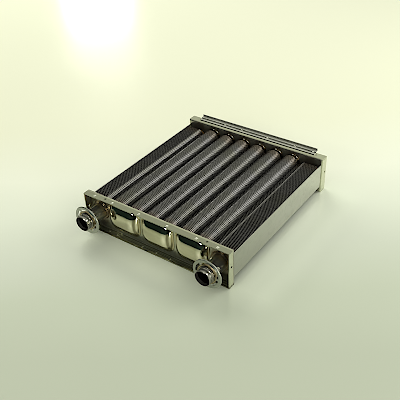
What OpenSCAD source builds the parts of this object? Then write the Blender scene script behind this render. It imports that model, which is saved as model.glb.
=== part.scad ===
// Finned stainless heat exchanger for a wall boiler.
// Eight water tubes run from front to back between two flanged header plates.
// Six of them are flat-sided ovals; the two end tubes are round and meet the
// connection pipes. Pressed domes turn the water round from tube to tube.
// Frame: +X to the right, +Y to the back, +Z up. The origin is the middle of
// the footprint, and both header plates stand on z = 0.

/* [Header plates] */
// Outer width of both header plates
pan_w = 210; // [206:1:214]
// Outer height of both header plates
pan_h = 50; // [49:0.5:52]
// Sheet thickness of the header plates
sheet = 1.2; // [1:0.1:1.4]
// Clear distance between the two header plates
core_len = 207; // [190:1:230]
// Depth of the front header plate's flange
front_flange = 10.5; // [10.3:0.1:12]
// Depth of the rear header plate's flange
rear_flange = 12; // [11:0.5:14]

/* [Tubes] */
// Distance from one tube to the next
tube_pitch = 25; // [25:0.1:25.4]
// Width of an oval tube
tube_w = 18.5; // [17:0.1:18.6]
// Height of an oval tube
tube_h = 37; // [35:0.5:37]
// Wall of every tube
tube_wall = 0.8; // [0.6:0.1:1]
// Height of the tubes' centre line
tube_z = 26.5; // [26:0.1:26.8]
// Outer diameter of the two round end tubes
end_tube_d = 21; // [20.6:0.1:21.4]

/* [Fins] */
// Number of fins
fin_count = 104; // [60:2:110]
// Thickness of one fin
fin_t = 0.5; // [0.3:0.1:0.6]
// Length of the folded lip over each tube
fin_lip = 1.3; // [0.8:0.1:2]
// Clear space between the last fin and the rear header plate
fin_gap = 7; // [5:0.5:12]

/* [Connection pipes] */
// Outer diameter of a connection pipe
pipe_d = 20; // [20:0.1:20.4]
// Wall of a connection pipe
pipe_wall = 0.7; // [0.6:0.1:0.7]
// How far a pipe stands out of the front header plate
pipe_out = 36; // [33:1:45]
// Distance from the front header plate to the collar's front face
collar_out = 27.6; // [24:0.1:28]
// Diameter of a collar
collar_d = 37.4; // [36:0.2:38]

/* [Domes] */
// Depth of a dome
dome_d = 9; // [9:0.1:9.2]
// Sheet thickness of a dome
dome_t = 0.8; // [0.6:0.1:0.8]

/* [Hidden] */
$fn = 64;

clear = 0.05;                       // braze gap round every tube
strip_back = 3;                     // the hook strip stands this far behind the rear flange
y_total = pipe_out + core_len + rear_flange + strip_back;
y_mouth = -y_total / 2;             // pipe mouths
y_front = y_mouth + pipe_out;       // back face of the front header plate
y_rear = y_front + core_len;        // front face of the rear header plate
y_edge = y_rear + rear_flange;      // back edge of the rear flange
tube_end = 0.8;                     // tubes stand this far out of each plate
tube_x = [for (i = [0:7]) (i - 3.5) * tube_pitch];
oval_r = tube_w / 2;
ridge_r = oval_r + 1.5;             // fin edge round an oval tube
arc_dz = tube_h / 2 - oval_r;       // centre of the oval's round ends from tube_z
side_t = 1;
side_x = pan_w / 2 - 1.1;           // outer face of the side plates
side_z0 = 9.5;
side_z1 = 42.6;
fin_x = side_x - side_t - clear;    // half width of a fin
fin_y0 = y_front + 1.2;
fin_step = (core_len - 1.2 - fin_gap - fin_t) / (fin_count - 1);
fin_half = ceil(fin_count / 2);      // fins in the front half of the pack
lip = min(fin_lip, fin_step - 0.4);  // a lip stops short of the next fin
valley = 11.3;                      // valley edge from the tube centre height
bump_x = [-89, -61, -20.5, 20.5, 61, 89];
low_bump_x = [-61, -21, 0, 21, 61];
hole_x = 74;
hole_r = 1.4;

steel = [0.78, 0.78, 0.72];
mirror = [0.66, 0.65, 0.52];
fin_grey = [0.24, 0.24, 0.23];
pipe_grey = [0.40, 0.39, 0.34];
brass_tint = [0.52, 0.42, 0.24];

// a body drawn in the XZ plane and extruded towards +Y from y
module slab(y, t) translate([0, y + t, 0]) rotate([90, 0, 0]) linear_extrude(t) children();

// outline with straight sides and round ends, tall side up
module oval(w, h) {
  r = w / 2;
  union() {
    square([w, h - 2 * r], center = true);
    translate([0, h / 2 - r]) circle(r);
    translate([0, r - h / 2]) circle(r);
  }
}

// rectangle with round corners
module round_rect(w, h, r) {
  union() {
    square([w - 2 * r, h], center = true);
    square([w, h - 2 * r], center = true);
    for (sx = [-1, 1], sy = [-1, 1]) translate([sx * (w / 2 - r), sy * (h / 2 - r)]) circle(r);
  }
}

// tray section: open at the front (v = 0), bent with radius r at the back (v = d)
module bent(w, d, r) {
  union() {
    translate([-w / 2, 0]) square([w, d - r]);
    translate([r - w / 2, 0]) square([w - 2 * r, d]);
    for (s = [-1, 1]) translate([s * (w / 2 - r), d - r]) circle(r);
  }
}

// solid block with its four back edges bent round, from y = 0 to y = d
module bent_block(w, h, d, r) {
  intersection() {
    linear_extrude(h + 2, center = true) bent(w, d, r);
    rotate([0, 90, 0]) linear_extrude(w + 2, center = true) bent(h, d, r);
  }
}

// flanged tray, its back face at y = d, flange towards -Y, centre at z = 0
module tray(d) {
  difference() {
    bent_block(pan_w, pan_h, d, 1.7);
    translate([0, -1, 0]) bent_block(pan_w - 2 * sheet, pan_h - 2 * sheet, d - sheet + 1, 0.5);
    // seams where the end flanges butt against the long ones
    for (sx = [-1, 1], sz = [-1, 1])
      translate([sx * (pan_w / 2 - sheet / 2), d / 2 - 2.2, sz * (pan_h / 2 - sheet - 0.15)])
        cube([sheet + 0.4, d, 0.3], center = true);
  }
}

// small bumps pressed up in the long flanges, clipped to y0 .. y0 + d
module bumps(y, y0, d) {
  intersection() {
    for (x = bump_x) translate([x, y, pan_h - 2]) sphere(2.55);
    translate([-pan_w / 2, y0, pan_h - sheet]) cube([pan_w, d, 5]);
  }
  intersection() {
    for (x = low_bump_x) translate([x, y, sheet - 2]) sphere(2.5);
    translate([-pan_w / 2, y0, 0]) cube([pan_w, d, 5]);
  }
}

module tube_holes() {
  for (i = [1:6]) translate([tube_x[i], tube_z]) oval(tube_w + 2 * clear, tube_h + 2 * clear);
  for (i = [0, 7]) translate([tube_x[i], tube_z]) circle(end_tube_d / 2 + clear);
}

module front_header_plate() {
  hy = y_front - front_flange + 5;
  color(steel) difference() {
    union() {
      translate([0, y_front - front_flange, pan_h / 2]) tray(front_flange);
      bumps(y_front - front_flange + 3.6, y_front - front_flange, front_flange);
    }
    slab(y_front - sheet - 1, sheet + 2) tube_holes();
    for (x = [-hole_x, hole_x]) {
      translate([x, hy, pan_h - sheet - 1]) cylinder(r = hole_r, h = sheet + 2);
      translate([x, hy, -1]) cylinder(r = hole_r, h = sheet + 2);
    }
    for (s = [-1, 1]) translate([s * (pan_w / 2 - sheet / 2), hy, 28.8]) rotate([0, 90, 0])
      cylinder(r = hole_r, h = sheet + 2, center = true);
  }
}

module rear_header_plate() {
  hy = y_rear + 9;
  color(steel) difference() {
    translate([0, y_edge, pan_h / 2]) mirror([0, 1, 0]) tray(rear_flange);
    slab(y_rear - 1, sheet + 2) tube_holes();
    for (s = [-1, 1]) translate([s * (pan_w / 2 - sheet / 2), hy, 28]) rotate([0, 90, 0])
      cylinder(r = hole_r, h = sheet + 2, center = true);
  }
}

// plain side sheet with two short tongues at each end
module side_plate(s) {
  color(steel) union() {
    translate([s * (side_x - side_t / 2), (y_front + y_rear) / 2, (side_z0 + side_z1) / 2])
      cube([side_t, core_len - 1.2, side_z1 - side_z0], center = true);
    for (z = [18, 34]) translate([s * (side_x - side_t / 2), (y_front + y_rear) / 2, z])
      cube([side_t, core_len, 6], center = true);
  }
}
module left_side_plate() side_plate(-1);
module right_side_plate() side_plate(1);

module oval_tube(i) {
  color(pipe_grey) translate([tube_x[i], 0, tube_z])
    slab(y_front - sheet - tube_end, core_len + 2 * sheet + 2 * tube_end) difference() {
      oval(tube_w, tube_h);
      oval(tube_w - 2 * tube_wall, tube_h - 2 * tube_wall);
    }
}
module oval_tube_1() oval_tube(1);
module oval_tube_2() oval_tube(2);
module oval_tube_3() oval_tube(3);
module oval_tube_4() oval_tube(4);
module oval_tube_5() oval_tube(5);
module oval_tube_6() oval_tube(6);

// round end tube, flush with the front of the front header plate
module end_tube(i) {
  color(pipe_grey) translate([tube_x[i], 0, tube_z])
    slab(y_front - sheet, core_len + 2 * sheet) difference() {
      circle(end_tube_d / 2);
      circle(end_tube_d / 2 - tube_wall);
    }
}
module end_tube_left() end_tube(0);
module end_tube_right() end_tube(7);

// flat end of a fin, from the side plate to the round end tube
module fin_end(s) {
  x0 = abs(tube_x[7]) - 9.2;
  w = fin_x - x0;
  h = side_z1 - side_z0 + 0.4;
  zc = (side_z0 + side_z1) / 2;
  translate([s * (x0 + w / 2), zc]) union() {
    translate([s * 3, 0]) square([w - 6, h], center = true);
    square([w, h - 12], center = true);
    for (k = [-1, 1]) translate([-s * (w / 2 - 6), k * (h / 2 - 6)]) circle(6);
  }
}

// fin outline: scalloped round the oval tubes, flat at both ends
module fin_outline() {
  difference() {
    union() {
      translate([0, tube_z]) square([2 * (abs(tube_x[7])), 2 * valley], center = true);
      for (i = [1:6], k = [-1, 1]) translate([tube_x[i], tube_z + k * arc_dz]) circle(ridge_r);
      fin_end(-1);
      fin_end(1);
    }
    tube_holes();
  }
}

// folded lip over the top of one oval tube
module lip_arc() {
  intersection() {
    difference() { circle(ridge_r); circle(ridge_r - 0.5); }
    polygon([[0, 0], [-20, 5.4], [-20, 30], [20, 30], [20, 5.4]]);
  }
}

// folded lip over the round shoulder of a fin's flat end
module shoulder_lip(s) {
  translate([s * (abs(tube_x[7]) - 3.2), (side_z0 + side_z1) / 2 + (side_z1 - side_z0 + 0.4) / 2 - 6]) intersection() {
    difference() { circle(6); circle(5.5); }
    polygon([[0, 0], [0, 9], [-s * 9, 9], [-s * 9, 1]]);
  }
}

module one_fin() {
  union() {
    slab(0, fin_t) fin_outline();
    slab(0, lip) {
      for (i = [1:6]) translate([tube_x[i], tube_z + arc_dz]) lip_arc();
      for (s = [-1, 1]) shoulder_lip(s);
    }
  }
}

module fins(first, last) {
  color(fin_grey) for (i = [first:last]) translate([0, fin_y0 + i * fin_step, 0]) one_fin();
}
module fin_pack_front() fins(0, fin_half - 1);
module fin_pack_rear() fins(fin_half, fin_count - 1);

// cushion: an arc from top to bottom, flatter with round shoulders from side to side,
// and a plan with round corners; base at y = 0, bulging towards -Y
module cushion(w, h, d, rc, re, t) {
  ra = (h * h / 4 + (d - t) * (d - t)) / (2 * (d - t));   // radius of the arc over the full height
  intersection() {
    // arc from top to bottom
    rotate([180, -90, 0]) linear_extrude(w + 2, center = true) intersection() {
      translate([-h / 2 - 1, 0]) square([h + 2, d + 1]);
      translate([0, d - ra]) circle(ra);
    }
    // round shoulders at both sides, cut in just above the crown
    mirror([0, 1, 0]) linear_extrude(h + 2, center = true) union() {
      translate([-w / 2, 0]) square([w, d + 0.5 - re]);
      translate([re - w / 2, 0]) square([w - 2 * re, d + 0.5]);
      for (s = [-1, 1]) translate([s * (w / 2 - re), d + 0.5 - re]) circle(re);
    }
    slab(-d - 2, d + 2) round_rect(w, h, rc);
  }
}

// pressed turn-round dome with a thin rim, base on y = 0, bulging towards -Y
module dome_body() {
  w = 45.6; h = 39; rc = 10.8; re = 7.5; up = 1.6;
  difference() {
    union() {
      cushion(w, h, dome_d, rc, re, up);
      slab(-dome_t, dome_t) round_rect(w + 1.4, h + 1.6, rc + 0.7);
    }
    translate([0, 1, 0]) cushion(w - 2 * dome_t, h - 2 * dome_t, dome_d - dome_t + 1, rc - dome_t, re - dome_t, up + 1);
  }
}
module front_dome(x) color(mirror) translate([x, y_front - sheet, tube_z]) dome_body();
module rear_dome(x) color(mirror) translate([x, y_rear + sheet, tube_z]) mirror([0, 1, 0]) dome_body();
module front_dome_left() front_dome(-2 * tube_pitch);
module front_dome_middle() front_dome(0);
module front_dome_right() front_dome(2 * tube_pitch);
module rear_dome_1() rear_dome(-3 * tube_pitch);
module rear_dome_2() rear_dome(-tube_pitch);
module rear_dome_3() rear_dome(tube_pitch);
module rear_dome_4() rear_dome(3 * tube_pitch);

// a turned body round the pipe axis; the profile is (radius, distance in front of the plate)
module turned(i) translate([tube_x[i], y_front - sheet, tube_z]) rotate([90, 0, 0]) rotate_extrude() children();

// connection pipe with a stepped foot and a small bead in front of the collar
module pipe(i) {
  ro = pipe_d / 2;
  ri = ro - pipe_wall;
  l = pipe_out - sheet;
  b = collar_out - sheet + 0.55;
  color(pipe_grey) turned(i) difference() {
    union() {
      polygon([[ri, 0], [ro + 1.4, 0], [ro + 1.4, 1], [ro + 0.9, 1.5], [ro, 1.5], [ro, l - 0.4], [ro - 0.4, l], [ri, l]]);
      translate([ro - 0.05, b]) circle(0.5);
    }
    translate([-1, 0]) square([ri + 1, l]);
  }
}
module left_pipe() pipe(0);
module right_pipe() pipe(7);

// braze fillet round the pipe's foot
module pipe_braze(i) {
  ro = pipe_d / 2 + 1.4;
  color(brass_tint) turned(i) difference() {
    translate([ro + clear, 0]) square([1.2, 1]);
    translate([ro + clear + 1.2, 1]) circle(0.95);
  }
}
module left_pipe_braze() pipe_braze(0);
module right_pipe_braze() pipe_braze(7);

// collar on the pipe: flat plate with a rolled edge, a sleeve behind it and three curved slots
module collar(i) {
  ro = collar_d / 2;
  f = collar_out - sheet;          // front face above the header plate
  rb = pipe_d / 2 + clear;
  color(steel) difference() {
    turned(i) union() {
      translate([rb, f - 1]) square([ro - rb - 1, 1]);
      translate([ro - 1, f - 1]) circle(1);
      translate([rb, f - 4]) square([1.1, 3.5]);
    }
    // each slot: middle angle, half its span, inner and outer radius
    translate([tube_x[i], 0, tube_z]) for (c = [[58.5, 62, 12.4, 15.1], [157.5, 26.5, 12.5, 14.9], [-39, 26, 12.5, 14.9]])
      rotate([0, -c[0], 0]) slab(y_front - collar_out - 5, 20) intersection() {
        difference() { circle(c[3]); circle(c[2]); }
        polygon([[0, 0], [20 * cos(c[1]), -20 * sin(c[1])], [25, -20], [25, 20], [20 * cos(c[1]), 20 * sin(c[1])]]);
      }
  }
}
module left_pipe_collar() collar(0);
module right_pipe_collar() collar(7);

// braze rings where the tubes meet the rear header plate
module rear_tube_braze() {
  color(brass_tint) {
    for (i = [1:6]) translate([tube_x[i], 0, tube_z]) slab(y_rear - 0.9, 0.9) difference() {
      oval(tube_w + 1.4, tube_h + 1.4);
      oval(tube_w + 2 * clear, tube_h + 2 * clear);
    }
    for (i = [0, 7]) translate([tube_x[i], 0, tube_z]) slab(y_rear - 0.9, 0.9) difference() {
      circle(end_tube_d / 2 + 0.8);
      circle(end_tube_d / 2 + clear);
    }
  }
}

// stepped strip on the rear flange's top: foot, low wall, ledge and rear wall, with small windows in the low wall
module rear_hook_strip() {
  e = y_edge;
  h = pan_h;
  color(steel) difference() {
    rotate([90, 0, 90]) linear_extrude(180, center = true)
      polygon([[e - 5.8, h], [e - 1, h], [e - 1, h + 1.6], [e + 3, h + 1.6], [e + 3, h + 5.1], [e + 2, h + 5.1],
               [e + 2, h + 2.5], [e - 1.9, h + 2.5], [e - 1.9, h + 0.9], [e - 5.8, h + 0.9]]);
    for (x = [-50, -22.7, 18, 59.5, 86]) translate([x, e - 1.9, h + 2]) cube([3.2, 1.8, 2.2], center = true);
  }
}

front_header_plate();
rear_header_plate();
left_side_plate();
right_side_plate();
end_tube_left();
oval_tube_1();
oval_tube_2();
oval_tube_3();
oval_tube_4();
oval_tube_5();
oval_tube_6();
end_tube_right();
fin_pack_front();
fin_pack_rear();
front_dome_left();
front_dome_middle();
front_dome_right();
rear_dome_1();
rear_dome_2();
rear_dome_3();
rear_dome_4();
left_pipe();
right_pipe();
left_pipe_collar();
right_pipe_collar();
left_pipe_braze();
right_pipe_braze();
rear_tube_braze();
rear_hook_strip();
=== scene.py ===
import bpy
import bmesh
import math
from mathutils import Matrix, Vector


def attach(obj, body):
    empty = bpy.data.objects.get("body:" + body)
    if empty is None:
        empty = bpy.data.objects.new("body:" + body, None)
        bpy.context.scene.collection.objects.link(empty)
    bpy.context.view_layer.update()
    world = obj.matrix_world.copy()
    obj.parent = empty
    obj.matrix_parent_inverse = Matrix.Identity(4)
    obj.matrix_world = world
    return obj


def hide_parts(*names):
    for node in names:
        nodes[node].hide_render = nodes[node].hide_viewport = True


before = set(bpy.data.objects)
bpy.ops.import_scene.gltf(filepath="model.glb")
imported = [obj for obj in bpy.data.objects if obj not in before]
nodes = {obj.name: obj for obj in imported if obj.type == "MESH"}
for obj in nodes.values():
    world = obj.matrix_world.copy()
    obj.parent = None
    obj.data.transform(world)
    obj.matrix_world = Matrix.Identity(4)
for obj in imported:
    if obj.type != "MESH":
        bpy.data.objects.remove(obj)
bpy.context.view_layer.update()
MM = 0.001

# ---------------------------------------------------------------- the object's own measures (mm)
PITCH = 25.0
TUBE_Z = 26.5
Y_PLATE_F = -94.2          # front face of the front header plate
Y_PLATE_R = 115.2          # rear face of the rear header plate
TUBE_X = [(i - 3.5) * PITCH for i in range(8)]


# ---------------------------------------------------------------- node helpers
class Mat:
    """A small wrapper round one material's node tree."""

    def __init__(self, name, metallic=1.0, ior=None):
        self.m = bpy.data.materials.new(name)
        self.m.use_nodes = True
        self.nt = self.m.node_tree
        self.nt.nodes.clear()
        self.out = self.nt.nodes.new("ShaderNodeOutputMaterial")
        self.bs = self.nt.nodes.new("ShaderNodeBsdfPrincipled")
        self.nt.links.new(self.bs.outputs[0], self.out.inputs[0])
        self.bs.inputs["Metallic"].default_value = metallic
        if ior:
            self.bs.inputs["IOR"].default_value = ior
        self.tc = None

    def put(self, kind, **props):
        n = self.nt.nodes.new(kind)
        for k, v in props.items():
            setattr(n, k, v)
        return n

    def set(self, socket, v):
        if isinstance(v, bpy.types.NodeSocket):
            self.nt.links.new(v, socket)
        elif isinstance(v, (tuple, list)) and len(v) == 3 and socket.type == "RGBA":
            socket.default_value = (*v, 1.0)
        else:
            socket.default_value = v

    def obj(self):
        if self.tc is None:
            self.tc = self.put("ShaderNodeTexCoord").outputs["Object"]
        return self.tc

    def sep(self, vec=None):
        n = self.put("ShaderNodeSeparateXYZ")
        self.set(n.inputs[0], vec or self.obj())
        return n.outputs[0], n.outputs[1], n.outputs[2]

    def comb(self, x=0.0, y=0.0, z=0.0):
        n = self.put("ShaderNodeCombineXYZ")
        for s, v in zip(n.inputs, (x, y, z)):
            self.set(s, v)
        return n.outputs[0]

    def map(self, scale=(1, 1, 1), loc=(0, 0, 0), rot=(0, 0, 0), vec=None):
        n = self.put("ShaderNodeMapping")
        self.set(n.inputs["Vector"], vec or self.obj())
        n.inputs["Scale"].default_value = scale
        n.inputs["Location"].default_value = loc
        n.inputs["Rotation"].default_value = rot
        return n.outputs[0]

    def noise(self, scale, detail=3.0, rough=0.55, dist=0.0, vec=None):
        n = self.put("ShaderNodeTexNoise")
        self.set(n.inputs["Vector"], vec or self.obj())
        n.inputs["Scale"].default_value = scale
        n.inputs["Detail"].default_value = detail
        n.inputs["Roughness"].default_value = rough
        n.inputs["Distortion"].default_value = dist
        return n.outputs["Fac"]

    def voronoi(self, scale, vec=None, feature="F1"):
        n = self.put("ShaderNodeTexVoronoi", feature=feature)
        self.set(n.inputs["Vector"], vec or self.obj())
        n.inputs["Scale"].default_value = scale
        return n.outputs["Distance"]

    def ramp(self, fac, *stops, mode="LINEAR"):
        n = self.put("ShaderNodeValToRGB")
        cr = n.color_ramp
        cr.interpolation = mode
        while len(cr.elements) < len(stops):
            cr.elements.new(0.5)
        for e, (p, c) in zip(cr.elements, stops):
            e.position = p
            e.color = (*c, 1.0) if isinstance(c, (tuple, list)) else (c, c, c, 1.0)
        self.set(n.inputs[0], fac)
        return n.outputs[0]

    def mix(self, fac, a, b, mode="MIX"):
        n = self.put("ShaderNodeMix", data_type="RGBA", blend_type=mode)
        self.set(n.inputs[0], fac)
        self.set(n.inputs[6], a)
        self.set(n.inputs[7], b)
        return n.outputs[2]

    def math(self, op, a, b=None, c=None, clamp=False):
        n = self.put("ShaderNodeMath", operation=op, use_clamp=clamp)
        self.set(n.inputs[0], a)
        if b is not None:
            self.set(n.inputs[1], b)
        if c is not None:
            self.set(n.inputs[2], c)
        return n.outputs[0]

    def span(self, v, lo, hi, to_lo=0.0, to_hi=1.0, smooth=False):
        n = self.put("ShaderNodeMapRange", clamp=True)
        if smooth:
            n.interpolation_type = "SMOOTHSTEP"
        self.set(n.inputs[0], v)
        n.inputs[1].default_value = lo
        n.inputs[2].default_value = hi
        n.inputs[3].default_value = to_lo
        n.inputs[4].default_value = to_hi
        return n.outputs[0]

    def bump(self, height, strength, dist_mm, normal=None):
        n = self.put("ShaderNodeBump")
        self.set(n.inputs["Height"], height)
        n.inputs["Strength"].default_value = strength
        n.inputs["Distance"].default_value = dist_mm * MM
        if normal is not None:
            self.set(n.inputs["Normal"], normal)
        return n.outputs[0]

    def done(self, color, rough, normal=None):
        self.set(self.bs.inputs["Base Color"], color)
        self.set(self.bs.inputs["Roughness"], rough)
        if normal is not None:
            self.set(self.bs.inputs["Normal"], normal)
        return self.m


# ---------------------------------------------------------------- materials
def sheet_steel(name, light, dark, r_lo, r_hi, grain_axis="x", tint=None, wave=0.25):
    """Rolled stainless sheet: fine grain along one axis, faint waves, water marks and small scratches."""
    g = Mat(name)
    long, short = 14.0, 900.0
    sc = {"x": (long, short, short), "y": (short, long, short), "z": (short, short, long)}[grain_axis]
    grain = g.noise(1.0, 4.0, 0.6, vec=g.map(scale=sc))
    cloud = g.noise(38.0, 4.0, 0.6, 0.4)
    big = g.noise(11.0, 2.0, 0.5)
    stain = g.ramp(g.noise(95.0, 5.0, 0.7, 1.2), (0.50, 0.0), (0.66, 1.0))
    scratch = g.ramp(g.noise(1.0, 2.0, 0.5, vec=g.map(scale=(420, 30, 420), rot=(0.2, 0.5, 0.7))), (0.66, 0.0), (0.70, 1.0))
    col = g.mix(g.ramp(cloud, (0.3, 0.0), (0.72, 1.0)), dark, light)
    col = g.mix(g.math("MULTIPLY", g.ramp(grain, (0.35, 0.0), (0.65, 1.0)), 0.16), col, tuple(min(1.0, c * 1.25) for c in light))
    col = g.mix(g.math("MULTIPLY", stain, 0.22), col, tuple(c * 0.72 for c in dark))
    # tint: bands along y; on the side plates they are painted shade and a painted shadow line
    if tint:
        x, y, z = g.sep()
        for (y0, y1, amount, tc) in tint:
            f = g.math("MULTIPLY", g.span(y, y0 * MM, y1 * MM, 0.0, 1.0, True), amount)
            f = g.math("MULTIPLY", f, g.ramp(big, (0.25, 0.35), (0.7, 1.0)))
            col = g.mix(f, col, tc)
    rough = g.span(g.math("ADD", g.math("MULTIPLY", cloud, 0.5), g.math("MULTIPLY", grain, 0.5)), 0.32, 0.68, r_lo, r_hi)
    rough = g.math("ADD", rough, g.math("MULTIPLY", stain, 0.07), clamp=True)
    h = g.math("ADD", g.math("MULTIPLY", grain, 0.5), g.math("MULTIPLY", scratch, -0.4))
    n1 = g.bump(g.noise(24.0, 2.0, 0.45), wave, 1.2)
    n2 = g.bump(h, 0.16, 0.05, n1)
    return g.done(col, rough, n2)


def header_steel():
    """Header sheet: satin rolled steel, painted darker on the two plates (painted shade and dark reflection at the
    front pan's ends), with brown heat rings round the tube and pipe roots.
    """
    g = Mat("header_steel", metallic=0.90)
    grain = g.noise(1.0, 4.0, 0.6, vec=g.map(scale=(14, 900, 900)))
    cloud = g.noise(38.0, 4.0, 0.6, 0.4)
    stain = g.ramp(g.noise(95.0, 5.0, 0.7, 1.2), (0.50, 0.0), (0.66, 1.0))
    scratch = g.ramp(g.noise(1.0, 2.0, 0.5, vec=g.map(scale=(420, 30, 420), rot=(0.2, 0.5, 0.7))), (0.66, 0.0), (0.70, 1.0))
    light, dark = (0.56, 0.575, 0.42), (0.47, 0.485, 0.345)
    col = g.mix(g.ramp(cloud, (0.3, 0.0), (0.72, 1.0)), dark, light)
    col = g.mix(g.math("MULTIPLY", g.ramp(grain, (0.35, 0.0), (0.65, 1.0)), 0.16), col, (0.64, 0.65, 0.52))
    col = g.mix(g.math("MULTIPLY", stain, 0.22), col, (0.34, 0.34, 0.25))
    x, y, z = g.sep()
    front = g.math("MULTIPLY", g.span(y, -0.0960, -0.0943), g.span(y, -0.0930, -0.0926, 1.0, 0.0))
    rear = g.math("MULTIPLY", g.span(y, 0.1136, 0.1140), g.span(y, 0.1152, 0.1165, 1.0, 0.0))
    rear = g.math("MULTIPLY", rear, g.span(g.math("ABSOLUTE", x), 0.1010, 0.1034, 1.0, 0.0))
    # painted shade and dark reflection: the front plate is painted darker, fully at its ends beside the pipes and a
    # quarter as much between the domes; the rear plate is painted darker too
    far = g.span(g.math("ABSOLUTE", x), 0.068, 0.078, 0.25, 1.0, True)
    col = g.mix(g.math("MULTIPLY", g.math("MULTIPLY", front, far), g.ramp(cloud, (0.3, 0.45), (0.7, 0.8))), col, (0.27, 0.265, 0.21))
    col = g.mix(g.math("MULTIPLY", rear, 0.75), col, (0.31, 0.30, 0.24))
    # the left end of the header is painted a little darker
    col = g.mix(g.span(x, -0.045, -0.095, 0.0, 0.32, True), col, (0.25, 0.255, 0.19))
    # painted reflections: long dark streaks in the tray of the lower flange
    lines = g.ramp(g.noise(1.0, 2.0, 0.5, vec=g.map(scale=(7, 520, 60))), (0.44, 1.0), (0.54, 0.0))
    tray = g.math("MULTIPLY", g.span(y, -0.0948, -0.0944, 1.0, 0.0), g.span(z, 0.0030, 0.0034, 1.0, 0.0))
    col = g.mix(g.math("MULTIPLY", g.math("ADD", g.math("MULTIPLY", lines, 0.5), 0.35), tray), col, (0.13, 0.135, 0.085))
    # brown rings round the roots: distance from the nearest tube axis
    xr = g.math("PINGPONG", g.math("ADD", x, 1.0), 0.0125)
    xr = g.math("SUBTRACT", 0.0125, xr)
    dz = g.math("MULTIPLY", g.math("ABSOLUTE", g.math("SUBTRACT", z, TUBE_Z * MM)), 0.55)
    d = g.math("SQRT", g.math("ADD", g.math("POWER", xr, 2.0), g.math("POWER", dz, 2.0)))
    d = g.math("ADD", d, g.math("MULTIPLY", g.math("SUBTRACT", g.noise(160.0, 3.0, 0.6), 0.5), 0.006))
    ends = g.span(g.math("ABSOLUTE", x), 0.066, 0.072)
    heat = g.ramp(g.span(d, 0.009, 0.017), (0.0, (0.17, 0.135, 0.095)), (0.3, (0.23, 0.195, 0.13)), (0.6, (0.31, 0.285, 0.205)), (0.9, (0.34, 0.335, 0.265)))
    amount = g.math("MAXIMUM", g.math("MULTIPLY", front, g.math("MULTIPLY", ends, 0.85)), g.math("MULTIPLY", rear, 0.75))
    col = g.mix(g.math("MULTIPLY", amount, g.span(d, 0.0105, 0.0165, 1.0, 0.0, True)), col, heat)
    # painted reflection: the front flange's top face is painted darker than its folded back edge, a little more to the
    # right, for a dimmer reflection
    top = g.math("MULTIPLY", g.span(z, 0.0490, 0.0496), g.span(y, -0.0968, -0.0958, 1.0, 0.0, True))
    painted_dim_top = g.math("MULTIPLY", top, g.span(x, -0.095, -0.050, 0.42, 0.58, True))
    col = g.mix(painted_dim_top, col, (0.17, 0.175, 0.125))
    # painted highlights on the pressed bumps along the front of the top flange and on the low bumps of the lower flange
    painted_bump_highlight = None
    for bx in (-89, -61, -20.5, 20.5, 61, 89):
        e = g.math("ABSOLUTE", g.math("SUBTRACT", x, (bx - 0.4) * MM))
        e = g.span(e, 0.0010, 0.0019, 1.0, 0.0, True)
        painted_bump_highlight = e if painted_bump_highlight is None else g.math("MAXIMUM", painted_bump_highlight, e)
    strip = g.math("MULTIPLY", g.span(y, -0.1022, -0.1014), g.span(y, -0.0992, -0.0984, 1.0, 0.0))
    painted_bump_highlight = g.math("MULTIPLY", g.math("MULTIPLY", painted_bump_highlight, strip), g.span(z, 0.0496, 0.0500))
    painted_low_bump_highlight = None
    for bx in (-61, -21, 0, 21, 61):
        e = g.math("ABSOLUTE", g.math("SUBTRACT", x, bx * MM))
        e = g.span(e, 0.0009, 0.0017, 1.0, 0.0, True)
        painted_low_bump_highlight = e if painted_low_bump_highlight is None else g.math("MAXIMUM", painted_low_bump_highlight, e)
    painted_low_bump_highlight = g.math("MULTIPLY", g.math("MULTIPLY", painted_low_bump_highlight, strip), g.math("MULTIPLY", g.span(z, 0.0014, 0.0017), g.span(z, 0.0040, 0.0044, 1.0, 0.0)))
    painted_bump_highlight = g.math("MAXIMUM", painted_bump_highlight, g.math("MULTIPLY", painted_low_bump_highlight, 0.8))
    col = g.mix(g.math("MULTIPLY", painted_bump_highlight, 0.9), col, (0.86, 0.87, 0.76))
    rough = g.span(g.math("ADD", g.math("MULTIPLY", cloud, 0.5), g.math("MULTIPLY", grain, 0.5)), 0.32, 0.68, 0.12, 0.24)
    rough = g.math("ADD", rough, g.math("MULTIPLY", stain, 0.08), clamp=True)
    h = g.math("ADD", g.math("MULTIPLY", grain, 0.5), g.math("MULTIPLY", scratch, -0.4))
    n1 = g.bump(g.noise(34.0, 2.0, 0.45), 0.16, 1.0)
    n2 = g.bump(h, 0.14, 0.05, n1)
    return g.done(col, rough, n2)


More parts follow.
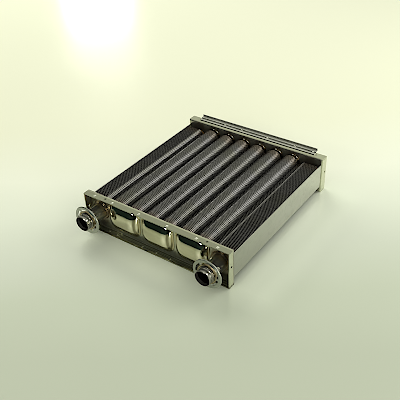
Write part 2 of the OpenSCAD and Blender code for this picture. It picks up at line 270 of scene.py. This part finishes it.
def fin_steel():
    """Dark fired steel of the fins: grey with brown and greenish patches, every fin its own tone."""
    g = Mat("fin_steel", metallic=0.74)
    g.set(g.bs.inputs["Specular Tint"], (0.30, 0.30, 0.30))
    g.set(g.bs.inputs["Specular IOR Level"], 0.25)
    x, y, z = g.sep()
    cloud = g.noise(60.0, 4.0, 0.6, 0.6)
    fine = g.noise(700.0, 3.0, 0.6)
    tone = g.noise(1.0, 1.0, 0.5, vec=g.comb(0.0, g.math("MULTIPLY", y, 358.0), 0.0))
    col = g.mix(g.ramp(cloud, (0.28, 0.0), (0.72, 1.0)), (0.105, 0.103, 0.099), (0.160, 0.157, 0.152))
    col = g.mix(g.math("MULTIPLY", g.ramp(tone, (0.35, 0.0), (0.65, 1.0)), 0.35), col, (0.23, 0.226, 0.222))
    col = g.mix(g.math("MULTIPLY", g.ramp(g.noise(22.0, 3.0, 0.6), (0.46, 0.0), (0.68, 1.0)), 0.40), col, (0.140, 0.140, 0.095))
    # browner towards both headers
    ends = g.math("MAXIMUM", g.span(y, -0.078, -0.092, 0.0, 1.0, True), g.span(y, 0.086, 0.108, 0.0, 1.0, True))
    col = g.mix(g.math("MULTIPLY", ends, 0.5), col, (0.17, 0.125, 0.075))
    # painted shade: the flat faces of the fins, seen only down the narrow gaps between the lips, are painted nearly
    # black, a little less on the flat ends
    tc = g.put("ShaderNodeTexCoord").outputs["Normal"]
    nx, ny, nz = g.sep(tc)
    face = g.span(g.math("ABSOLUTE", ny), 0.5, 0.9)
    painted_gap_shade = g.math("MULTIPLY", face, g.span(g.math("ABSOLUTE", x), 0.076, 0.079, 0.92, 0.70))
    col = g.mix(painted_gap_shade, col, (0.020, 0.019, 0.016))
    # painted highlight along the rounded shoulders of the flat ends
    ax = g.math("ABSOLUTE", x)
    edge = g.math("MULTIPLY", g.span(ax, 0.0806, 0.0813), g.span(ax, 0.0824, 0.0831, 1.0, 0.0))
    edge = g.math("MULTIPLY", edge, g.math("MULTIPLY", g.span(z, 0.0405, 0.0412), g.span(face, 0.0, 0.6, 1.0, 0.0)))
    col = g.mix(g.math("MULTIPLY", edge, 0.8), col, (0.50, 0.49, 0.46))
    rough = g.span(g.math("ADD", g.math("MULTIPLY", cloud, 0.6), g.math("MULTIPLY", fine, 0.4)), 0.35, 0.65, 0.24, 0.38)
    nrm = g.bump(fine, 0.25, 0.06)
    return g.done(col, rough, nrm)


def tube_steel():
    """Dark tube steel, browner and brighter by its ends."""
    g = Mat("tube_steel")
    x, y, z = g.sep()
    cloud = g.noise(70.0, 4.0, 0.6)
    draw = g.noise(1.0, 3.0, 0.6, vec=g.map(scale=(700, 12, 700)))
    col = g.mix(cloud, (0.10, 0.088, 0.07), (0.20, 0.18, 0.14))
    ends = g.math("MAXIMUM", g.span(y, -0.088, -0.093, 0.0, 1.0), g.span(y, 0.104, 0.113, 0.0, 1.0, True))
    col = g.mix(g.math("MULTIPLY", ends, 0.7), col, (0.24, 0.165, 0.085))
    rough = g.span(cloud, 0.3, 0.7, 0.16, 0.34)
    return g.done(col, rough, g.bump(draw, 0.15, 0.05))


def pipe_steel():
    """Polished dark pipe: fine turned rings, brown and straw heat colours towards the root."""
    g = Mat("pipe_steel", metallic=0.90)
    x, y, z = g.sep()
    cloud = g.noise(90.0, 4.0, 0.6, 0.5)
    rings = g.noise(1.0, 3.0, 0.6, vec=g.map(scale=(8, 1500, 8)))
    scr = g.noise(1.0, 3.0, 0.6, vec=g.map(scale=(800, 16, 800)))
    col = g.mix(g.ramp(cloud, (0.3, 0.0), (0.7, 1.0)), (0.26, 0.255, 0.225), (0.38, 0.37, 0.33))
    t = g.math("ADD", y, g.math("MULTIPLY", g.math("SUBTRACT", cloud, 0.5), 0.005))
    heat = g.ramp(g.span(t, -0.108, -0.094), (0.0, (0.24, 0.23, 0.19)), (0.35, (0.27, 0.25, 0.19)), (0.62, (0.36, 0.30, 0.18)), (0.85, (0.26, 0.20, 0.12)), (1.0, (0.18, 0.14, 0.095)))
    col = g.mix(g.span(t, -0.108, -0.100, 0.0, 0.9, True), col, heat)
    # painted shade: the bore inside the mouth is painted nearly black
    px = g.math("SUBTRACT", g.math("ABSOLUTE", x), 0.0875)
    pz = g.math("SUBTRACT", z, TUBE_Z * MM)
    pr = g.math("SQRT", g.math("ADD", g.math("MULTIPLY", px, px), g.math("MULTIPLY", pz, pz)))
    bore = g.math("MULTIPLY", g.span(pr, 0.00940, 0.00955, 1.0, 0.0), g.span(y, -0.1248, -0.1240))
    col = g.mix(bore, col, (0.035, 0.032, 0.024))
    rough = g.span(g.math("ADD", g.math("MULTIPLY", cloud, 0.6), g.math("MULTIPLY", rings, 0.4)), 0.35, 0.65, 0.10, 0.19)
    h = g.math("ADD", g.math("MULTIPLY", rings, 0.5), g.math("MULTIPLY", scr, 0.5))
    return g.done(col, rough, g.bump(h, 0.05, 0.03))


def collar_steel():
    """Matt plated collar: pale and slightly mottled on the rim, brown with a straw line on the hub round the pipe."""
    g = Mat("collar_steel")
    x, y, z = g.sep()
    cloud = g.noise(120.0, 4.0, 0.65, 0.4)
    fine = g.noise(1400.0, 3.0, 0.6)
    spots = g.ramp(g.voronoi(420.0), (0.06, 1.0), (0.16, 0.0))
    col = g.mix(g.ramp(cloud, (0.3, 0.0), (0.7, 1.0)), (0.36, 0.375, 0.325), (0.48, 0.495, 0.435))
    col = g.mix(g.math("MULTIPLY", spots, 0.18), col, (0.36, 0.36, 0.31))
    dx = g.math("SUBTRACT", g.math("ABSOLUTE", x), 0.0875)
    dz = g.math("SUBTRACT", z, TUBE_Z * MM)
    r = g.math("SQRT", g.math("ADD", g.math("MULTIPLY", dx, dx), g.math("MULTIPLY", dz, dz)))
    r = g.math("ADD", r, g.math("MULTIPLY", g.math("SUBTRACT", cloud, 0.5), 0.0004))
    hub = g.ramp(g.span(r, 0.0100, 0.0150), (0.0, (0.11, 0.085, 0.05)), (0.20, (0.20, 0.16, 0.09)), (0.27, (0.50, 0.43, 0.26)), (0.34, (0.48, 0.42, 0.26)), (0.42, (0.17, 0.13, 0.07)), (1.0, (0.12, 0.095, 0.06)))
    col = g.mix(g.span(r, 0.0124, 0.0127, 1.0, 0.0), col, hub)
    rough = g.span(g.math("ADD", g.math("MULTIPLY", cloud, 0.6), g.math("MULTIPLY", fine, 0.4)), 0.35, 0.65, 0.26, 0.40)
    return g.done(col, rough, g.bump(fine, 0.12, 0.03))


def strip_steel():
    """Hooked strip: matt ledges painted pale and upright walls painted dark, a painted light and shade by which way
    each face turns, with fine drawn lines along it.
    """
    g = Mat("strip_steel")
    x, y, z = g.sep()
    grain = g.noise(1.0, 4.0, 0.6, vec=g.map(scale=(18, 800, 800)))
    cloud = g.noise(70.0, 4.0, 0.6, 0.4)
    nrm = g.put("ShaderNodeTexCoord").outputs["Normal"]
    nx, ny, nz = g.sep(nrm)
    ledge = g.span(nz, 0.5, 0.8)
    # painted shade on the upright walls and painted light on the upward ledges
    col = g.mix(g.ramp(cloud, (0.3, 0.0), (0.7, 1.0)), (0.17, 0.175, 0.14), (0.24, 0.245, 0.20))
    pale = g.mix(g.ramp(cloud, (0.3, 0.0), (0.7, 1.0)), (0.44, 0.445, 0.38), (0.58, 0.585, 0.50))
    col = g.mix(ledge, col, pale)
    col = g.mix(g.math("MULTIPLY", g.ramp(grain, (0.4, 0.0), (0.6, 1.0)), 0.25), col, (0.42, 0.42, 0.36))
    g.set(g.bs.inputs["Metallic"], g.span(ledge, 0.0, 1.0, 0.62, 0.45))
    rough = g.math("ADD", g.span(ledge, 0.0, 1.0, 0.16, 0.42), g.math("MULTIPLY", cloud, 0.06))
    return g.done(col, rough, g.bump(grain, 0.12, 0.05))


def braze_metal():
    """Braze: a brown, straw and copper skin with small ripples."""
    g = Mat("braze_metal")
    cloud = g.noise(260.0, 4.0, 0.65, 0.8)
    fine = g.noise(900.0, 3.0, 0.6)
    col = g.ramp(cloud, (0.25, (0.10, 0.068, 0.04)), (0.45, (0.19, 0.135, 0.075)), (0.6, (0.28, 0.225, 0.13)), (0.78, (0.36, 0.33, 0.23)))
    # the seam on the far left tube is the most coppery one
    x, y, z = g.sep()
    left = g.math("MULTIPLY", g.span(x, -0.070, -0.076), g.span(y, 0.10, 0.11))
    col = g.mix(g.math("MULTIPLY", left, 0.8), col, (0.50, 0.27, 0.11))
    col = g.mix(g.math("MULTIPLY", g.math("MULTIPLY", g.span(y, 0.10, 0.11), g.math("SUBTRACT", 1.0, left)), 0.45), col, (0.10, 0.088, 0.062))
    # painted highlights: small pale, less metallic glints at the crown and on the right shoulder of every rear joint
    dx = g.math("SUBTRACT", g.math("WRAP", g.math("ADD", x, 1.0), 0.025, 0.0), 0.0125)
    painted_glint = None
    for bx, bz, w in ((0.0, 0.0453, 0.0011), (0.0061, 0.0432, 0.0014)):
        ex = g.math("SUBTRACT", dx, bx)
        ez = g.math("SUBTRACT", z, bz)
        r = g.math("SQRT", g.math("ADD", g.math("MULTIPLY", ex, ex), g.math("MULTIPLY", ez, ez)))
        r = g.math("ADD", r, g.math("MULTIPLY", g.math("SUBTRACT", fine, 0.5), 0.0006))
        one = g.span(r, w * 0.7, w * 1.25, 1.0, 0.0, True)
        painted_glint = one if painted_glint is None else g.math("MAXIMUM", painted_glint, one)
    painted_glint = g.math("MULTIPLY", painted_glint, g.span(y, 0.10, 0.11))
    col = g.mix(painted_glint, col, (0.95, 0.92, 0.80))
    g.set(g.bs.inputs["Metallic"], g.span(painted_glint, 0.0, 1.0, 1.0, 0.35))
    rough = g.span(cloud, 0.3, 0.7, 0.10, 0.24)
    return g.done(col, rough, g.bump(g.math("ADD", cloud, g.math("MULTIPLY", fine, 0.3)), 0.35, 0.2))


def dome_steel():
    """Mirror-polished pressed steel with a straw tint, press marks and a browner root."""
    g = Mat("dome_steel")
    x, y, z = g.sep()
    cloud = g.noise(55.0, 3.0, 0.55, 0.5)
    fine = g.noise(1.0, 3.0, 0.6, vec=g.map(scale=(900, 900, 40)))
    depth = g.math("MAXIMUM", g.math("SUBTRACT", Y_PLATE_F * MM, y), g.math("SUBTRACT", y, Y_PLATE_R * MM))
    col = g.mix(g.ramp(cloud, (0.3, 0.0), (0.7, 1.0)), (0.61, 0.585, 0.40), (0.73, 0.70, 0.51))
    root = g.span(g.math("ADD", depth, g.math("MULTIPLY", g.math("SUBTRACT", cloud, 0.5), 0.003)), 0.0008, 0.0055, 1.0, 0.0, True)
    col = g.mix(g.math("MULTIPLY", root, 0.55), col, (0.46, 0.38, 0.20))
    # painted reflections: a pale band, then a dark line and a pale edge, down the right shoulder of the front domes
    u = g.math("SUBTRACT", g.math("WRAP", g.math("ADD", x, 1.025), 0.050, 0.0), 0.025)
    u = g.math("ADD", u, g.math("MULTIPLY", g.math("SUBTRACT", g.noise(70.0, 2.0, 0.5), 0.5), 0.0012))
    bands = g.ramp(g.span(u, 0.0080, 0.0240), (0.10, 0.5), (0.36, 1.0), (0.50, 0.9), (0.62, 0.12), (0.72, 0.2), (0.80, 1.0), (1.0, 0.5))
    front = g.span(y, -0.0950, -0.0956)
    pale = g.math("MULTIPLY", g.span(bands, 0.5, 1.0), front)
    deep = g.math("MULTIPLY", g.span(bands, 0.5, 0.1), front)
    col = g.mix(g.math("MULTIPLY", pale, 0.85), col, (0.98, 0.93, 0.72))
    col = g.mix(g.math("MULTIPLY", deep, 0.75), col, (0.16, 0.13, 0.06))
    rough = g.span(g.noise(150.0, 4.0, 0.6), 0.35, 0.7, 0.045, 0.12)
    n1 = g.bump(g.noise(60.0, 2.0, 0.4), 0.10, 0.8)
    return g.done(col, rough, g.bump(fine, 0.04, 0.02, n1))


def floor_mat():
    """Pale floor, painted lighter from a soft grey green near the viewer to nearly white far off to the left: a painted
    light falloff.
    """
    g = Mat("floor_pale", metallic=0.0)
    x, y, z = g.sep()
    t = g.math("SUBTRACT", y, g.math("MULTIPLY", x, 0.8))
    t = g.math("ADD", t, g.math("MULTIPLY", g.math("SUBTRACT", g.noise(5.0, 2.0, 0.5), 0.5), 0.10))
    col = g.ramp(g.span(t, -0.30, 0.30), (0.0, (0.485, 0.53, 0.405)), (0.17, (0.525, 0.575, 0.44)), (0.33, (0.60, 0.645, 0.52)),
                 (0.5, (0.71, 0.755, 0.61)), (0.68, (0.80, 0.83, 0.67)), (1.0, (0.78, 0.80, 0.60)))
    # the shiny sheets throw light on the floor: paler at the foot of the front plate and along the right side
    foot = g.ramp(g.span(x, -0.12, 0.12), (0.042, 0.0), (0.133, 1.0), (0.225, 0.12), (0.375, 0.62), (0.5, 0.95), (0.625, 0.88), (0.75, 0.36), (0.917, 0.3), (1.0, 0.0))
    foot = g.math("MULTIPLY", foot, g.math("MULTIPLY", g.span(y, -0.150, -0.120, 0.0, 1.0, True), g.span(y, -0.100, -0.108)))
    flank = g.math("MULTIPLY", g.span(x, 0.170, 0.132, 0.0, 1.0, True), g.span(x, 0.100, 0.106))
    flank = g.math("MULTIPLY", flank, g.math("MULTIPLY", g.span(y, -0.125, -0.095), g.span(y, 0.16, 0.12)))
    col = g.mix(g.math("MAXIMUM", foot, g.math("MULTIPLY", flank, 0.5)), col, (0.80, 0.86, 0.68))
    rough = g.span(g.noise(6.0, 3.0, 0.5), 0.3, 0.7, 0.22, 0.30)
    return g.done(col, rough, g.bump(g.noise(260.0, 2.0, 0.5), 0.03, 0.2))


M = {
    "header": header_steel(),
    # side plates: painted shade darkening them towards the front, and a painted shadow line where they meet the front
    # flange
    "side": sheet_steel("side_steel", (0.495, 0.50, 0.44), (0.44, 0.445, 0.385), 0.22, 0.36, "y", [(60, -95, 0.6, (0.33, 0.335, 0.285)), (-91.6, -92.6, 0.9, (0.07, 0.068, 0.055))]),
    "strip": strip_steel(),
    "fin": fin_steel(),
    "tube": tube_steel(),
    "pipe": pipe_steel(),
    "collar": collar_steel(),
    "braze": braze_metal(),
    "dome": dome_steel(),
}


def dress(names, mat):
    for n in names:
        o = nodes[n]
        if not o.material_slots:
            o.data.materials.append(mat)
        for s in o.material_slots:
            s.material = mat


dress(["front_header_plate", "rear_header_plate"], M["header"])
dress(["rear_hook_strip"], M["strip"])
dress(["left_side_plate", "right_side_plate"], M["side"])
dress(["fin_pack_front", "fin_pack_rear"], M["fin"])
dress(["end_tube_left", "end_tube_right"] + ["oval_tube_%d" % i for i in range(1, 7)], M["tube"])
dress(["left_pipe", "right_pipe"], M["pipe"])
dress(["left_pipe_collar", "right_pipe_collar"], M["collar"])
dress(["left_pipe_braze", "right_pipe_braze", "rear_tube_braze"], M["braze"])
dress(["front_dome_left", "front_dome_middle", "front_dome_right"] + ["rear_dome_%d" % i for i in range(1, 5)], M["dome"])


# ---------------------------------------------------------------- pieces that stand in for CAD nodes
def add_mesh(name, verts, faces, mat, node):
    me = bpy.data.meshes.new(name)
    me.from_pydata([tuple(c * MM for c in v) for v in verts], [], faces)
    me.validate()
    bm = bmesh.new()
    bm.from_mesh(me)
    bmesh.ops.recalc_face_normals(bm, faces=bm.faces)
    bm.to_mesh(me)
    bm.free()
    for p in me.polygons:
        p.use_smooth = True
    me.materials.append(mat)
    o = bpy.data.objects.new(name, me)
    bpy.context.scene.collection.objects.link(o)
    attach(o, "root")
    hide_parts(node)
    return o


def rounded_outline(w, h, r, n):
    """Points of a rounded rectangle, anticlockwise from the +X side, 4 * n points in all."""
    pts = []
    for k, (cx, cz) in enumerate([(w / 2 - r, h / 2 - r), (-w / 2 + r, h / 2 - r), (-w / 2 + r, -h / 2 + r), (w / 2 - r, -h / 2 + r)]):
        for j in range(n):
            a = math.pi / 2 * (k + j / (n - 1))
            pts.append((cx + r * math.cos(a), cz + r * math.sin(a)))
    return pts


def dome_height(u, v, d):
    """Height of the pressed cushion at (u, v), both from -1 to 1."""
    return d * max(0.0, max(0.0, 1.0 - abs(u) ** 4.5) ** 0.75 - abs(v) ** 2.45)


def dome_piece(name, node, xc, y_base, s):
    """Pressed dome: a crowned cushion that runs through a small fillet into a thin rim."""
    w, h, rc = 45.6, 39.0, 10.8
    D, t = 9.0, 0.8
    NR, NA = 44, 144
    out = []

    def ring_point(a, k):
        # outline direction and size at angle a for the plan superellipse
        c, q = math.cos(a), math.sin(a)
        lo, hi = 5.0, 40.0
        for _ in range(40):
            mid = (lo + hi) / 2
            if dome_height(mid * c / (w / 2), mid * q / (h / 2), 1.0) <= 0:
                hi = mid
            else:
                lo = mid
        return lo * k * c, lo * k * q

    fil = 0.955        # where the fillet into the rim starts
    verts, faces = [], []

    def surf(k, a, inner):
        x, z = ring_point(a, k)
        if inner:
            x *= (w - 2 * t) / w
            z *= (h - 2 * t) / h
        hh = dome_height(x / (w / 2), z / (h / 2), D) if not inner else dome_height(x / (w / 2 - t), z / (h / 2 - t), D - t)
        return x, z, hh

    # outer skin, from the crown to the fillet
    rings = []
    verts.append((0, -D, 0))
    ks = [math.sin(math.pi / 2 * (i / NR)) ** 0.9 * fil for i in range(1, NR + 1)]
    angs = [2 * math.pi * j / NA for j in range(NA)]
    for k in ks:
        ring = []
        for a in angs:
            x, z, hh = surf(k, a, False)
            ring.append(len(verts))
            verts.append((x, -max(hh, t), z))
        rings.append(ring)
    # fillet: from the skin's last ring to the rim's face
    for f in (0.25, 0.5, 0.75, 1.0):
        ring = []
        for a in angs:
            x0, z0, h0 = surf(fil, a, False)
            x1, z1 = ring_point(a, 1.0)
            e = f
            yy = (h0 - t) * (1 - e) ** 2 + t
            ring.append(len(verts))
            verts.append((x0 + (x1 - x0) * e, -yy, z0 + (z1 - z0) * e))
        rings.append(ring)
    # rim: flat, then a rounded edge down to the base
    rw, rh, rr = (w + 1.4) / 2, (h + 1.6) / 2, rc + 0.7

    def rim_point(a, off):
        # rounded rectangle in direction a
        c, q = math.cos(a), math.sin(a)
        lo, hi = 5.0, 45.0
        W, H, R = rw - off, rh - off, rr - off
        for _ in range(40):
            mid = (lo + hi) / 2
            px, pz = abs(mid * c), abs(mid * q)
            dx, dz = max(px - (W - R), 0), max(pz - (H - R), 0)
            inside = px <= W and pz <= H and dx * dx + dz * dz <= R * R
            if inside:
                lo = mid
            else:
                hi = mid
        return lo * c, lo * q

    for off, yy in ((0.30, t), (0.09, t - 0.09), (0.0, t - 0.30), (0.0, 0.0)):
        ring = []
        for a in angs:
            x, z = rim_point(a, off)
            ring.append(len(verts))
            verts.append((x, -yy, z))
        rings.append(ring)
    # underside and inner skin
    for k in [1.0] + list(reversed(ks)):
        ring = []
        for a in angs:
            x, z, hh = surf(k if k == 1.0 else k / fil * 0.985, a, True)
            ring.append(len(verts))
            verts.append((x, -max(hh, 0.0) if k != 1.0 else 0.0, z))
        rings.append(ring)
    last = len(verts)
    verts.append((0, -(D - t), 0))
    for j in range(NA):
        faces.append((0, rings[0][j], rings[0][(j + 1) % NA]))
    for r0, r1 in zip(rings, rings[1:]):
        for j in range(NA):
            k = (j + 1) % NA
            faces.append((r0[j], r1[j], r1[k], r0[k]))
    for j in range(NA):
        faces.append((last, rings[-1][(j + 1) % NA], rings[-1][j]))
    V = [(xc + x, y_base + (y if s > 0 else -y), TUBE_Z + z) for x, y, z in verts]
    return add_mesh(name, V, faces, M["dome"], node)


dome_piece("dome_front_left", "front_dome_left", -50, Y_PLATE_F, 1)
dome_piece("dome_front_middle", "front_dome_middle", 0, Y_PLATE_F, 1)
dome_piece("dome_front_right", "front_dome_right", 50, Y_PLATE_F, 1)
for i, xc in enumerate((-75, -25, 25, 75)):
    dome_piece("dome_rear_%d" % (i + 1), "rear_dome_%d" % (i + 1), xc, Y_PLATE_R, -1)


def stadium(w, h, e, n):
    """Outline of an upright oval grown by e: two half circles and straight sides, anticlockwise."""
    r, c = w / 2, (h - w) / 2
    pts = []
    for j in range(n):
        a = 2 * math.pi * (j + 0.5) / n
        pts.append(((r + e) * math.cos(a), (r + e) * math.sin(a) + (c if a < math.pi else -c)))
    return pts


def rear_braze():
    """Rounded braze beads round the eight tubes where they meet the rear plate."""
    verts, faces = [], []
    y_plate, n = 114.0, 72
    for i, xc in enumerate(TUBE_X):
        end = i in (0, 7)
        w, h, k = (21.0, 21.0, 0.8) if end else (18.5, 37.0, 0.7)
        prof = [(0.05, 0.0), (0.05, -0.88), (0.20, -0.89), (0.5 * k + 0.05, -0.82), (0.8 * k, -0.62), (0.95 * k, -0.36), (k, -0.12), (k, 0.0)]
        base = len(verts)
        for e, dy in prof:
            for j, (x, z) in enumerate(stadium(w, h, e, n)):
                wob = 0.5 + 0.5 * math.sin(j * 0.7 + i * 1.9) * math.sin(j * 0.31 + i)
                verts.append((xc + x, y_plate + dy * (0.90 + 0.10 * wob if e > 0.06 else 1.0), TUBE_Z + z))
        m = len(prof)
        for q in range(m):
            for j in range(n):
                a0, a1 = base + q * n + j, base + q * n + (j + 1) % n
                b0, b1 = base + ((q + 1) % m) * n + j, base + ((q + 1) % m) * n + (j + 1) % n
                faces.append((a0, a1, b1, b0))
    return add_mesh("braze_rear", verts, faces, M["braze"], "rear_tube_braze")


rear_braze()


# ---------------------------------------------------------------- floor, light, camera
bpy.ops.mesh.primitive_plane_add(size=9.0, location=(0, 0, 0))
floor = bpy.context.object
floor.name = "floor"
floor.data.materials.append(floor_mat())


def area(name, loc, target, size, energy, color, glossy=True, shape="RECTANGLE"):
    l = bpy.data.lights.new(name, "AREA")
    l.shape = shape
    l.size, l.size_y = size
    l.energy = energy
    l.color = color
    o = bpy.data.objects.new(name, l)
    o.location = loc
    o.rotation_euler = (Vector(target) - Vector(loc)).to_track_quat("-Z", "Y").to_euler()
    bpy.context.scene.collection.objects.link(o)
    o.visible_glossy = glossy
    return o


area("left_far", (-1.30, 0.75, 1.20), (0, 0, 0), (1.4, 1.0), 15.0, (1.0, 1.0, 0.93), False)
area("right_far", (0.54, 0.72, 0.64), (0, 0, 0.03), (0.56, 0.56), 3.6, (1.0, 1.0, 0.98))
area("left_low", (-1.20, 1.05, 0.16), (0, 0, 0.03), (0.22, 0.30), 1.7, (1.0, 1.0, 0.95))
area("lamp_front", (-0.07, -1.10, 0.70), (0, -0.1, 0), (0.42, 0.13), 1.5, (1.0, 1.0, 0.95), shape="ELLIPSE")
area("lamp_side", (1.15, -0.72, 0.24), (0, -0.1, 0), (0.36, 0.50), 5.0, (1.0, 1.0, 0.93))

world = bpy.data.worlds.new("studio")
bpy.context.scene.world = world
world.use_nodes = True
wt = world.node_tree
wt.nodes.clear()
wo = wt.nodes.new("ShaderNodeOutputWorld")
bg = wt.nodes.new("ShaderNodeBackground")
wt.links.new(bg.outputs[0], wo.inputs[0])
tcw = wt.nodes.new("ShaderNodeTexCoord")
sw = wt.nodes.new("ShaderNodeSeparateXYZ")
wt.links.new(tcw.outputs["Generated"], sw.inputs[0])


def wmath(op, a, b=None, clamp=False):
    n = wt.nodes.new("ShaderNodeMath")
    n.operation = op
    n.use_clamp = clamp
    for i, v in enumerate((a, b)):
        if v is None:
            continue
        if isinstance(v, bpy.types.NodeSocket):
            wt.links.new(v, n.inputs[i])
        else:
            n.inputs[i].default_value = v
    return n.outputs[0]


# the room: pale behind and above the object, dark on the viewer's side
depth = wmath("ADD", sw.outputs[1], wmath("MULTIPLY", sw.outputs[2], 0.75))
depth = wmath("ADD", depth, wmath("MULTIPLY", wmath("MAXIMUM", sw.outputs[0], 0.0), 0.7))
ramp = wt.nodes.new("ShaderNodeValToRGB")
wt.links.new(wmath("ADD", wmath("MULTIPLY", depth, 0.5), 0.5), ramp.inputs[0])
e = ramp.color_ramp.elements
e[0].position, e[0].color = 0.50, (0.012, 0.022, 0.018, 1)
e[1].position, e[1].color = 0.86, (0.88, 0.90, 0.76, 1)
m = ramp.color_ramp.elements.new(0.62)
m.color = (0.10, 0.12, 0.095, 1)
lp = wt.nodes.new("ShaderNodeLightPath")
mixw = wt.nodes.new("ShaderNodeMix")
mixw.data_type = "RGBA"
wt.links.new(lp.outputs["Is Camera Ray"], mixw.inputs[0])
glossy = wt.nodes.new("ShaderNodeMix")
glossy.data_type = "RGBA"
wt.links.new(lp.outputs["Is Glossy Ray"], glossy.inputs[0])
glossy.inputs[6].default_value = (0.74, 0.74, 0.70, 1)
wt.links.new(ramp.outputs[0], glossy.inputs[7])
wt.links.new(glossy.outputs[2], mixw.inputs[6])
mixw.inputs[7].default_value = (0.93, 0.95, 0.80, 1)
wt.links.new(mixw.outputs[2], bg.inputs[0])
bg.inputs[1].default_value = 0.85
world.cycles.sampling_method = "NONE"

cam_data = bpy.data.cameras.new("camera")
cam = bpy.data.objects.new("camera", cam_data)
bpy.context.scene.collection.objects.link(cam)
cam_data.sensor_fit = "HORIZONTAL"
cam_data.sensor_width = 36.0
cam_data.lens = 57.16
cam_data.clip_start = 0.02
cam_data.dof.use_dof = False


def camera_matrix(loc, az, el, roll):
    a, e, r = map(math.radians, (az, el, roll))
    back = Vector((math.sin(a) * math.cos(e), -math.cos(a) * math.cos(e), math.sin(e)))
    fwd = -back
    right = fwd.cross(Vector((0, 0, 1))).normalized()
    up = right.cross(fwd)
    r2 = math.cos(r) * right + math.sin(r) * up
    u2 = -math.sin(r) * right + math.cos(r) * up
    mm = Matrix((r2, u2, -fwd)).transposed().to_4x4()
    mm.translation = Vector(loc)
    return mm


cam.matrix_world = camera_matrix((0.38688, -0.52513, 0.48611), 36.885, 35.704, -2.701)
bpy.context.scene.camera = cam
bpy.context.scene.view_settings.view_transform = "Standard"
bpy.context.scene.view_settings.look = "None"

# the fins keep their raw fine stripes; the rest of the picture is cleaned of noise
sc = bpy.context.scene
layer = bpy.context.view_layer
layer.use_pass_object_index = True
layer.use_pass_normal = True
layer.use_pass_diffuse_color = True
layer.use_pass_glossy_color = True
sc.cycles.use_denoising = False
sc.cycles.filter_width = 1.0
for n in ("fin_pack_front", "fin_pack_rear"):
    nodes[n].pass_index = 1
sc.use_nodes = True
ct = sc.node_tree
ct.nodes.clear()
rl = ct.nodes.new("CompositorNodeRLayers")
passes = {o.name: o for o in rl.outputs}
dn = ct.nodes.new("CompositorNodeDenoise")
ct.links.new(passes["Image"], dn.inputs["Image"])
skin = ct.nodes.new("CompositorNodeMixRGB")
skin.blend_type = "ADD"
skin.inputs[0].default_value = 1.0
ct.links.new(passes["DiffCol"], skin.inputs[1])
ct.links.new(passes["GlossCol"], skin.inputs[2])
ct.links.new(passes["Normal"], dn.inputs["Normal"])
ct.links.new(skin.outputs[0], dn.inputs["Albedo"])
idm = ct.nodes.new("CompositorNodeIDMask")
idm.index = 1
ct.links.new(passes["IndexOB"], idm.inputs[0])
pick = ct.nodes.new("CompositorNodeMixRGB")
part = ct.nodes.new("CompositorNodeMath")
part.operation = "MULTIPLY"
part.inputs[1].default_value = 1.0
ct.links.new(idm.outputs[0], part.inputs[0])
ct.links.new(part.outputs[0], pick.inputs[0])
ct.links.new(dn.outputs[0], pick.inputs[1])
ct.links.new(passes["Image"], pick.inputs[2])
crisp = ct.nodes.new("CompositorNodeFilter")
crisp.filter_type = "SHARPEN_DIAMOND"
crisp.inputs[0].default_value = 0.16
ct.links.new(pick.outputs[0], crisp.inputs[1])
co = ct.nodes.new("CompositorNodeComposite")
ct.links.new(crisp.outputs[0], co.inputs[0])
